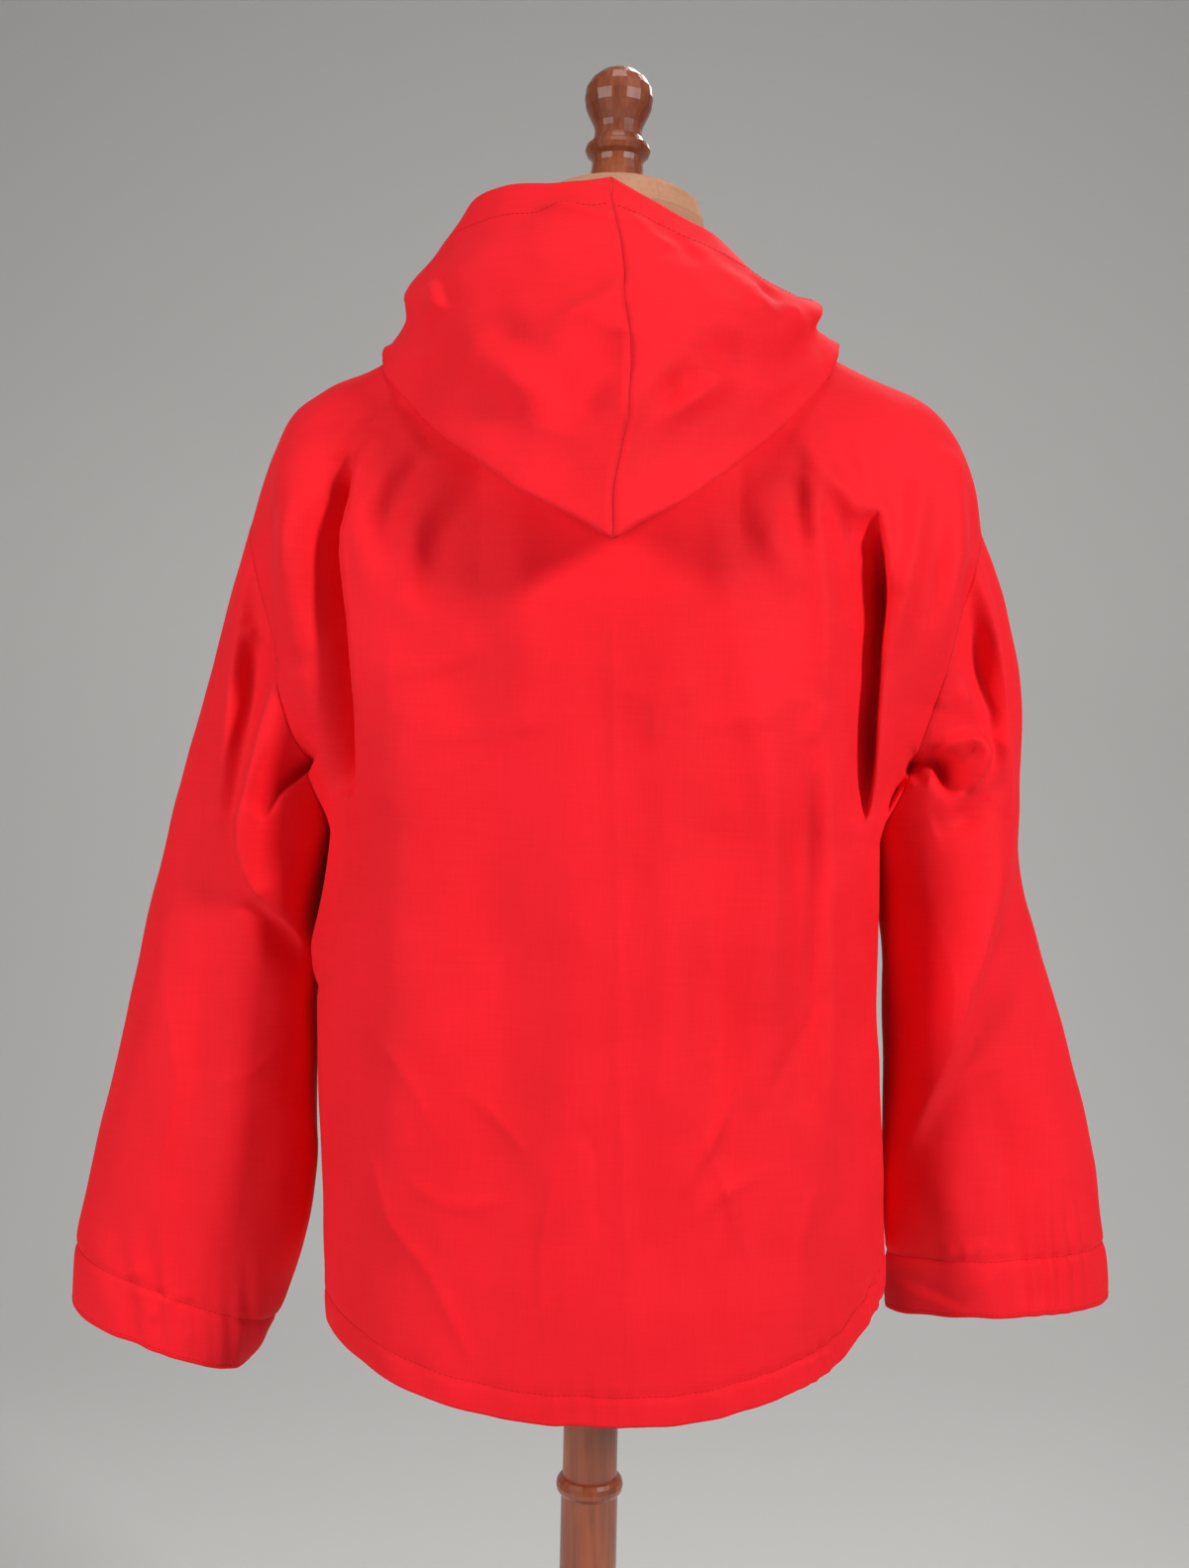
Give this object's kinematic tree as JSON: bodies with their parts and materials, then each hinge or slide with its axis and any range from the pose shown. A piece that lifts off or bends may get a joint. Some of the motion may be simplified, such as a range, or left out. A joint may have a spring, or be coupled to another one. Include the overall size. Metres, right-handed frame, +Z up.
{
  "type": "hooded anorak pullover on a limbless dress form with a turned wooden stand",
  "caption": "Roomy hooded pullover in plain red poplin, hood down and sleeves hanging, worn by a linen-covered torso form on a turned wooden pole and base.",
  "frame": {"origin": "centre of the base's underside, on the pole's axis, on the surface that the stand rests on", "axes": "+Z up along the pole; +Y out of the garment's front and -Y out of its back; -X the wearer's left"},
  "size_m": [0.7345, 0.3928, 1.615],
  "materials": {
    "poplin": "plain-woven cotton poplin, bright red, matt with a faint sheen, pressed and lightly creased",
    "linen": "beige linen stretched smooth over the form",
    "wood": "turned hardwood, red-brown stain under glossy varnish"
  },
  "bodies": {
    "root": {"back_panel": "poplin", "front_panel": "poplin", "sleeve_left": "poplin", "sleeve_right": "poplin", "hood_left": "poplin", "hood_right": "poplin", "form": "linen", "finial": "wood", "pole": "wood", "base": "wood"}
  },
  "joints": []
}
